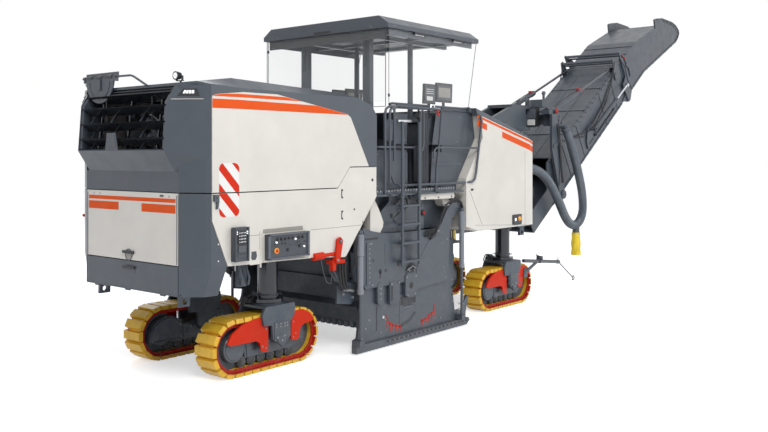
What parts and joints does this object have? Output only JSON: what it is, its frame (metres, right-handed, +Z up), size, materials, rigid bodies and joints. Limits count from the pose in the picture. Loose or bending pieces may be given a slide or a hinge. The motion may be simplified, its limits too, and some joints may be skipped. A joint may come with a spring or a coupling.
{
  "type": "cold planer milling machine",
  "caption": "Tracked road milling machine with lifting columns, a cutter drum, side plates, an operator's canopy, a hinged hood and a slewing, folding discharge conveyor.",
  "frame": {"origin": "on the ground, in the middle of the whole length and width", "axes": "+X in the working direction, towards the discharge conveyor's end; +Y left; +Z up"},
  "size_m": [15.5872, 2.64, 5.8237],
  "materials": {
    "white_paint": "cream gloss paint, a little dusty",
    "grey_paint": "dark slate grey paint",
    "frame_paint": "dark slate grey paint, dusty",
    "steel": "bare steel",
    "cast": "cast iron",
    "chrome": "hard chrome rod",
    "pads": "yellow polyurethane pads on a red chain",
    "hose": "flexible duct",
    "trim": "dark plastic",
    "seat_cover": "black seat cover",
    "glass": "tinted glass",
    "red_paint": "red gloss paint",
    "black_paint": "black paint"
  },
  "bodies": {
    "chassis": {"main_frame": "frame_paint", "engine_block": "cast", "drum_housing": "frame_paint", "guide_plates": "frame_paint", "plate_barrels": "grey_paint", "scraper_barrels": "grey_paint", "corner_panels": "grey_paint", "lower_panels": "white_paint", "front_body": "white_paint", "loading_conveyor": "frame_paint", "platform": "grey_paint", "consoles": "trim", "seat_frames": "steel", "seat_pads": "seat_cover", "rails": "grey_paint", "ladders": "grey_paint", "front_mast": "grey_paint", "control_panels": "trim", "sensor_arm": "red_paint", "dust_hose": "hose"},
    "hood": {"hood_top": "grey_paint", "hood_sides": "white_paint", "hood_louvres": "grey_paint", "rear_lamps": "black_paint"},
    "rear_door": {"rear_door": "white_paint"},
    "rear_flap": {"rear_flap": "grey_paint"},
    "canopy": {"canopy": "grey_paint", "canopy_glass": "glass"},
    "drum": {"drum": "steel"},
    "side_plate_right": {"side_plate_right": "frame_paint"},
    "side_plate_left": {"side_plate_left": "frame_paint"},
    "scraper": {"scraper": "steel"},
    "swivel_tower": {"swivel_tower": "grey_paint"},
    "discharge_lower": {"discharge_lower": "grey_paint"},
    "discharge_head": {"discharge_head": "grey_paint"},
    "lift_barrels": {"lift_barrels": "grey_paint"},
    "lift_rods": {"lift_rods": "chrome"},
    "fold_barrels": {"fold_barrels": "grey_paint"},
    "fold_rods": {"fold_rods": "chrome"},
    "column_rear_right": {"column_rear_right": "steel"},
    "carriage_rear_right": {"carriage_rear_right": "frame_paint", "track_rear_right": "pads", "fenders_rear_right": "red_paint"},
    "column_rear_left": {"column_rear_left": "steel"},
    "carriage_rear_left": {"carriage_rear_left": "frame_paint", "track_rear_left": "pads", "fenders_rear_left": "red_paint"},
    "column_front_right": {"column_front_right": "steel"},
    "carriage_front_right": {"carriage_front_right": "frame_paint", "track_front_right": "pads", "fenders_front_right": "red_paint"},
    "column_front_left": {"column_front_left": "steel"},
    "carriage_front_left": {"carriage_front_left": "frame_paint", "track_front_left": "pads", "fenders_front_left": "red_paint"}
  },
  "joints": [
    {"name": "hood_hinge", "type": "hinge", "parent": "chassis", "child": "hood", "pos_m": [-4.9, 0, 3.06], "axis": [0, 1, 0], "range_deg": [0, 42]},
    {"name": "rear_door_hinge", "type": "hinge", "parent": "chassis", "child": "rear_door", "pos_m": [-7.705, 0, 2.123], "axis": [0, 1, 0], "range_deg": [0, 95]},
    {"name": "rear_flap_hinge", "type": "hinge", "parent": "chassis", "child": "rear_flap", "pos_m": [-7.705, 0, 1.053], "axis": [0, -1, 0], "range_deg": [0, 100]},
    {"name": "canopy_height", "type": "slide", "parent": "chassis", "child": "canopy", "axis": [0, 0, 1], "range_m": [-0.45, 0]},
    {"name": "drum_spin", "type": "hinge", "parent": "chassis", "child": "drum", "pos_m": [-3.8, 0, 0.56], "axis": [0, 1, 0], "continuous": true},
    {"name": "side_plate_right_lift", "type": "slide", "parent": "chassis", "child": "side_plate_right", "axis": [0, 0, 1], "range_m": [0, 0.38]},
    {"name": "side_plate_left_lift", "type": "slide", "parent": "chassis", "child": "side_plate_left", "axis": [0, 0, 1], "range_m": [0, 0.38]},
    {"name": "scraper_lift", "type": "slide", "parent": "chassis", "child": "scraper", "axis": [0, 0, 1], "range_m": [0, 0.35]},
    {"name": "column_rear_right_lift", "type": "slide", "parent": "chassis", "child": "column_rear_right", "axis": [0, 0, 1], "range_m": [0, 0.38]},
    {"name": "column_rear_left_lift", "type": "slide", "parent": "chassis", "child": "column_rear_left", "axis": [0, 0, 1], "range_m": [0, 0.38]},
    {"name": "column_front_right_lift", "type": "slide", "parent": "chassis", "child": "column_front_right", "axis": [0, 0, 1], "range_m": [0, 0.38]},
    {"name": "column_front_left_lift", "type": "slide", "parent": "chassis", "child": "column_front_left", "axis": [0, 0, 1], "range_m": [0, 0.38]},
    {"name": "steer_rear_right", "type": "hinge", "parent": "column_rear_right", "child": "carriage_rear_right", "pos_m": [-6.253, -0.69, 0], "axis": [0, 0, 1], "range_deg": [-25, 25]},
    {"name": "steer_rear_left", "type": "hinge", "parent": "column_rear_left", "child": "carriage_rear_left", "pos_m": [-6.253, 0.69, 0], "axis": [0, 0, 1], "range_deg": [-25, 25]},
    {"name": "steer_front_right", "type": "hinge", "parent": "column_front_right", "child": "carriage_front_right", "pos_m": [-0.838, -0.69, 0], "axis": [0, 0, 1], "range_deg": [-25, 25]},
    {"name": "steer_front_left", "type": "hinge", "parent": "column_front_left", "child": "carriage_front_left", "pos_m": [-0.838, 0.69, 0], "axis": [0, 0, 1], "range_deg": [-25, 25]},
    {"name": "slew", "type": "hinge", "parent": "chassis", "child": "swivel_tower", "pos_m": [0.8, 0, 0], "axis": [0, 0, 1], "range_deg": [-60, 60], "deforming": ["dust_hose"]},
    {"name": "luff", "type": "hinge", "parent": "swivel_tower", "child": "discharge_lower", "pos_m": [1.4, 0, 1.8], "axis": [0, -1, 0], "range_deg": [-20, 4]},
    {"name": "fold", "type": "hinge", "parent": "discharge_lower", "child": "discharge_head", "pos_m": [4.59814, 0, 3.78712], "axis": [0, 1, 0], "range_deg": [0, 110]},
    {"name": "lift_barrel_pivot", "type": "hinge", "parent": "swivel_tower", "child": "lift_barrels", "pos_m": [1.245, 0, 3.385], "axis": [0, -1, 0], "range_deg": [-21.5, 5]},
    {"name": "lift_rod_slide", "type": "slide", "parent": "lift_barrels", "child": "lift_rods", "axis": [0.9315, 0, 0.3638], "range_m": [-0.12, 0.56]},
    {"name": "fold_barrel_pivot", "type": "hinge", "parent": "discharge_lower", "child": "fold_barrels", "pos_m": [2.72006, 0, 3.07989], "axis": [0, 1, 0], "range_deg": [0, 12]},
    {"name": "fold_rod_slide", "type": "slide", "parent": "fold_barrels", "child": "fold_rods", "axis": [0.8487, 0, 0.5288], "range_m": [0, 0.55]}
  ],
  "couplings": [
    {"joint": "lift_barrel_pivot", "follows": "luff", "ratio": 1.05},
    {"joint": "lift_rod_slide", "follows": "luff", "m_per_rad": -1.579},
    {"joint": "fold_barrel_pivot", "follows": "fold", "ratio": 0.0955},
    {"joint": "fold_rod_slide", "follows": "fold", "m_per_rad": 0.2787}
  ]
}
